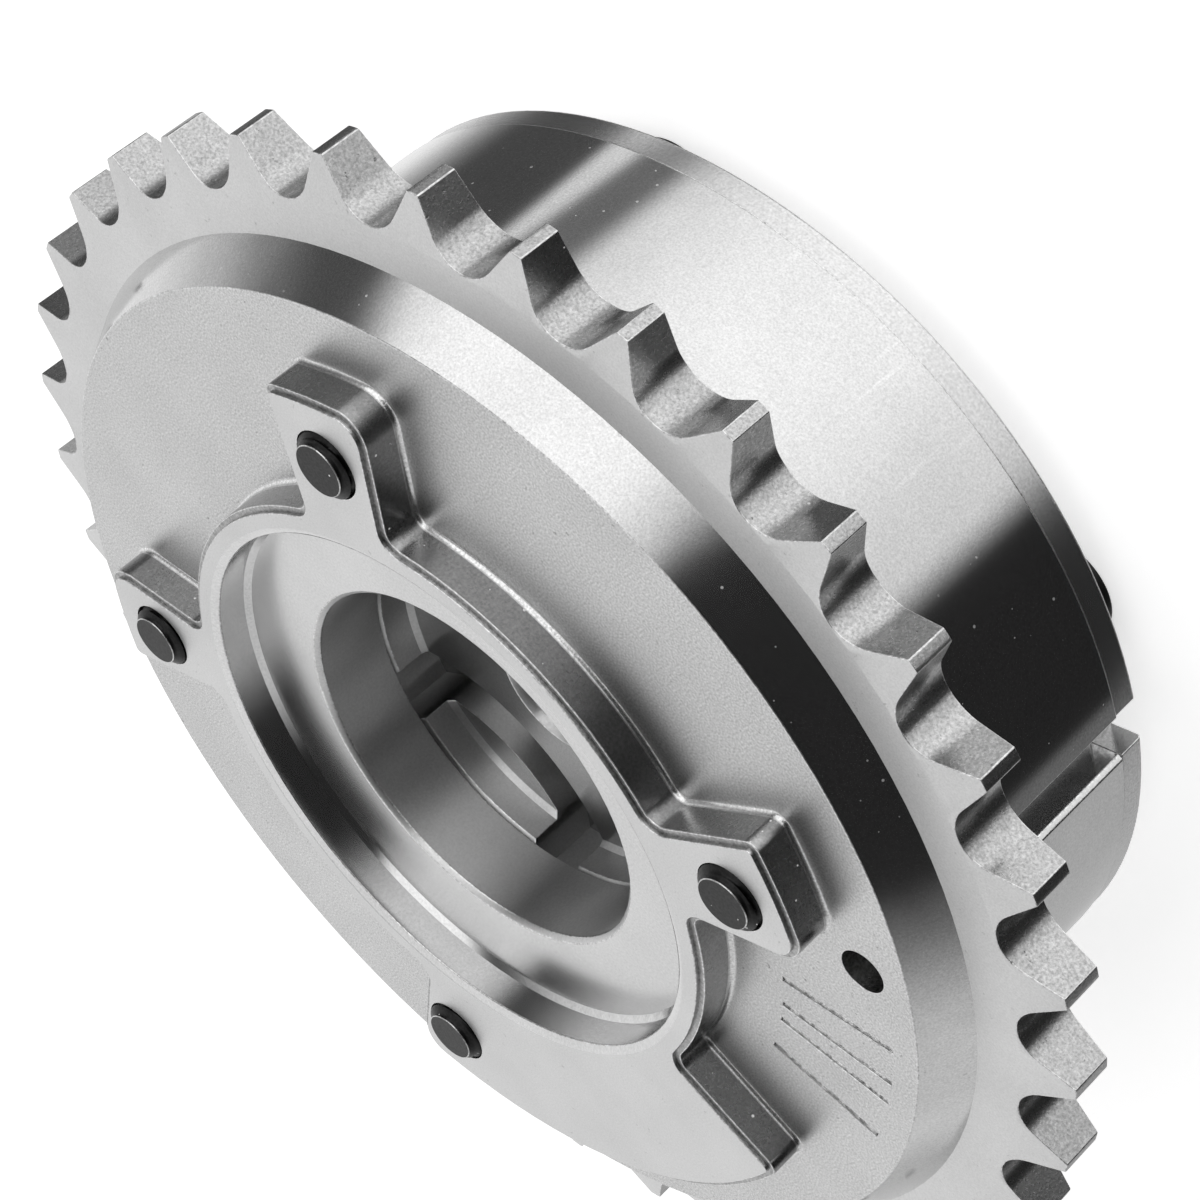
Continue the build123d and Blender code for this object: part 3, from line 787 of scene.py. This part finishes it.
# %% The bolt's sizes
BOLT_END, BOLT_RADIUS, HEAD_RADIUS, HEAD_HEIGHT, HEAD_EDGE = 33.7, 2.5, 4.25, 3.0, 0.3
SOCKET_WIDTH, SOCKET_DEPTH = 3.0, 1.6
SHANK_START, SHANK_END, THREAD_START, THREAD_END, NOSE_MIDDLE = 2.5, 23.95, 24.0, 33.4, 33.55
THREAD_STEP, THREAD_STEPS = 0.1, 94
PITCH, THREAD_DEPTH, THREAD_SLOPE = 0.8, 0.42, 2.6
TIP_RADIUS, RIM_WIDTH, RIM_HEIGHT, NOSE_HEIGHT, TIP_SLOPE = 1.95, 0.07, 0.05, 0.22, 1.6
TIP_LEVEL = 0.99


def thread_radius(height, turn):
    """The bolt's radius in mm at a height and a turn in radians: plain shank, thread, chamfered tip."""
    if height < THREAD_START:
        return BOLT_RADIUS
    phase = (height / PITCH - turn / (2 * math.pi)) % 1.0
    valley = max(0.0, 1.0 - abs(phase - 0.5) * THREAD_SLOPE)
    thread = BOLT_RADIUS - THREAD_DEPTH * valley
    below_tip = BOLT_END - height
    tip = TIP_RADIUS - RIM_WIDTH + min(below_tip, RIM_HEIGHT) * RIM_WIDTH / RIM_HEIGHT
    return min(thread, tip + max(below_tip - NOSE_HEIGHT, 0.0) * TIP_SLOPE)


# %% Shank and thread
def shank_levels():
    """The heights of the shank's rings of points, in mm, close together from the thread's start on."""
    levels = [SHANK_START, SHANK_END]
    levels += [THREAD_START + THREAD_STEP * step for step in range(THREAD_STEPS)]
    return levels + [THREAD_END, BOLT_END - NOSE_HEIGHT, NOSE_MIDDLE, BOLT_END - RIM_HEIGHT, BOLT_END]


def shank():
    bpy.ops.object.select_all(action="DESELECT")
    bpy.ops.mesh.primitive_cylinder_add(vertices=64, radius=BOLT_RADIUS * MM, depth=1.0)
    made = bpy.context.active_object
    levels = shank_levels()
    bpy.ops.object.mode_set(mode="EDIT")
    bpy.ops.mesh.select_all(action="DESELECT")
    bpy.ops.object.mode_set(mode="OBJECT")
    for vertex in made.data.vertices:
        vertex.co.z = levels[1] * MM if vertex.co.z > 0 else levels[0] * MM
    for face in made.data.polygons:
        face.select = face.normal.z > LEVEL
    for below, above in zip(levels[1:], levels[2:]):
        bpy.ops.object.mode_set(mode="EDIT")
        bpy.ops.mesh.extrude_region_move(TRANSFORM_OT_translate={"value": (0, 0, (above - below) * MM)})
        bpy.ops.object.mode_set(mode="OBJECT")
    for vertex in made.data.vertices:
        height, turn = vertex.co.z / MM, math.atan2(vertex.co.y, vertex.co.x)
        radius = thread_radius(height, turn) * MM
        vertex.co.x, vertex.co.y = radius * math.cos(turn), radius * math.sin(turn)
    return made


# %% Head with its socket
def head():
    bpy.ops.object.select_all(action="DESELECT")
    bpy.ops.mesh.primitive_cylinder_add(
        vertices=96, radius=HEAD_RADIUS * MM, depth=HEAD_HEIGHT * MM, location=(0, 0, HEAD_HEIGHT / 2 * MM)
    )
    made = bpy.context.active_object
    corner_radius = SOCKET_WIDTH / math.sqrt(3) * MM
    bpy.ops.mesh.primitive_cylinder_add(vertices=6, radius=corner_radius, depth=2 * SOCKET_DEPTH * MM)
    socket = bpy.context.active_object
    only(made)
    cut = made.modifiers.new("hex_socket", "BOOLEAN")
    cut.operation = "DIFFERENCE"
    cut.object = socket
    bpy.ops.object.modifier_apply(modifier=cut.name)
    bpy.data.objects.remove(socket)
    bpy.ops.object.transform_apply(location=True, rotation=True, scale=True)
    break_edges(made, HEAD_EDGE)
    return made


# %% One bolt
def bolt_master():
    shaft, cap = shank(), head()
    only(shaft)
    cap.select_set(True)
    bpy.ops.object.join()
    shaft.data.materials.clear()
    shaft.data.materials.append(black_oxide)
    shaft.data.materials.append(broken_edge)
    for face in shaft.data.polygons:
        on_rim = face.center.z > (BOLT_END - RIM_HEIGHT) * MM and face.normal.z < TIP_LEVEL
        face.material_index = 1 if on_rim else 0
    shade(shaft, BOLT_SMOOTH_UP_TO)
    return shaft


master = bolt_master()
print("bolt:", len(master.data.vertices), "vertices")

# %% Four bolts in their holes
# Each is screwed in to another turn, so no two threads end alike.
BOLT_ANGLES, BOLT_CIRCLE, TURN_MORE = (-41.0, 44.6, 123.6, 240.1), 28.4, 17

bolts = [master] + [bpy.data.objects.new("bolt", master.data.copy()) for _ in BOLT_ANGLES[1:]]
for number, (bolt, angle) in enumerate(zip(bolts, BOLT_ANGLES), 1):
    if bolt is not master:
        bpy.context.scene.collection.objects.link(bolt)
    bolt.name = f"bolt_{number}"
    only(bolt)
    bolt.rotation_euler = (0, 0, math.radians(angle + TURN_MORE * number))
    bolt.location = polar(BOLT_CIRCLE, angle)
    bpy.ops.object.transform_apply(location=True, rotation=True, scale=True)
    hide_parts(f"cover_bolt_{number}")
    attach(bolt, "housing_body")
    print(bolt.name, "at", round(angle, 1), "degrees")

# %% [markdown]
# ## Lock pin spring
# A small coil presses the lock pin into its bush. When oil pushes the pin back, the real coil shortens from
# its seat on the retainer. Here it is a merged copy of the CAD coil, in spring steel, that rides with the
# rotor.

pin_spring = merged_copy("lock_pin_spring", "pin_spring")
pin_spring.data.materials.append(spring_steel)
only(pin_spring)
bpy.ops.object.shade_smooth_by_angle(angle=math.radians(SMOOTH_UP_TO))
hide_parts("lock_pin_spring")
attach(pin_spring, "rotor_body")
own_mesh(pin_spring)

# %% [markdown]
# ## Small inner parts
# The seals, their leaf springs, the lock pin, its retainer and its bush are hidden inside and show from no
# side. They keep their CAD meshes and only take the finish of their slot.

# %% Small inner parts
finish_of = {"hardened_steel": pin_steel, "spring_steel": spring_steel, "seal_plastic": seal_plastic}
slots = {row["node"]: row["material_slot"] for row in frame["record"]["subparts"]}
for name, obj in frame["nodes"].items():
    if slots.get(name) in finish_of:
        obj.material_slots[0].material = finish_of[slots[name]]
print("inner parts:", sum(slot in finish_of for slot in slots.values()))
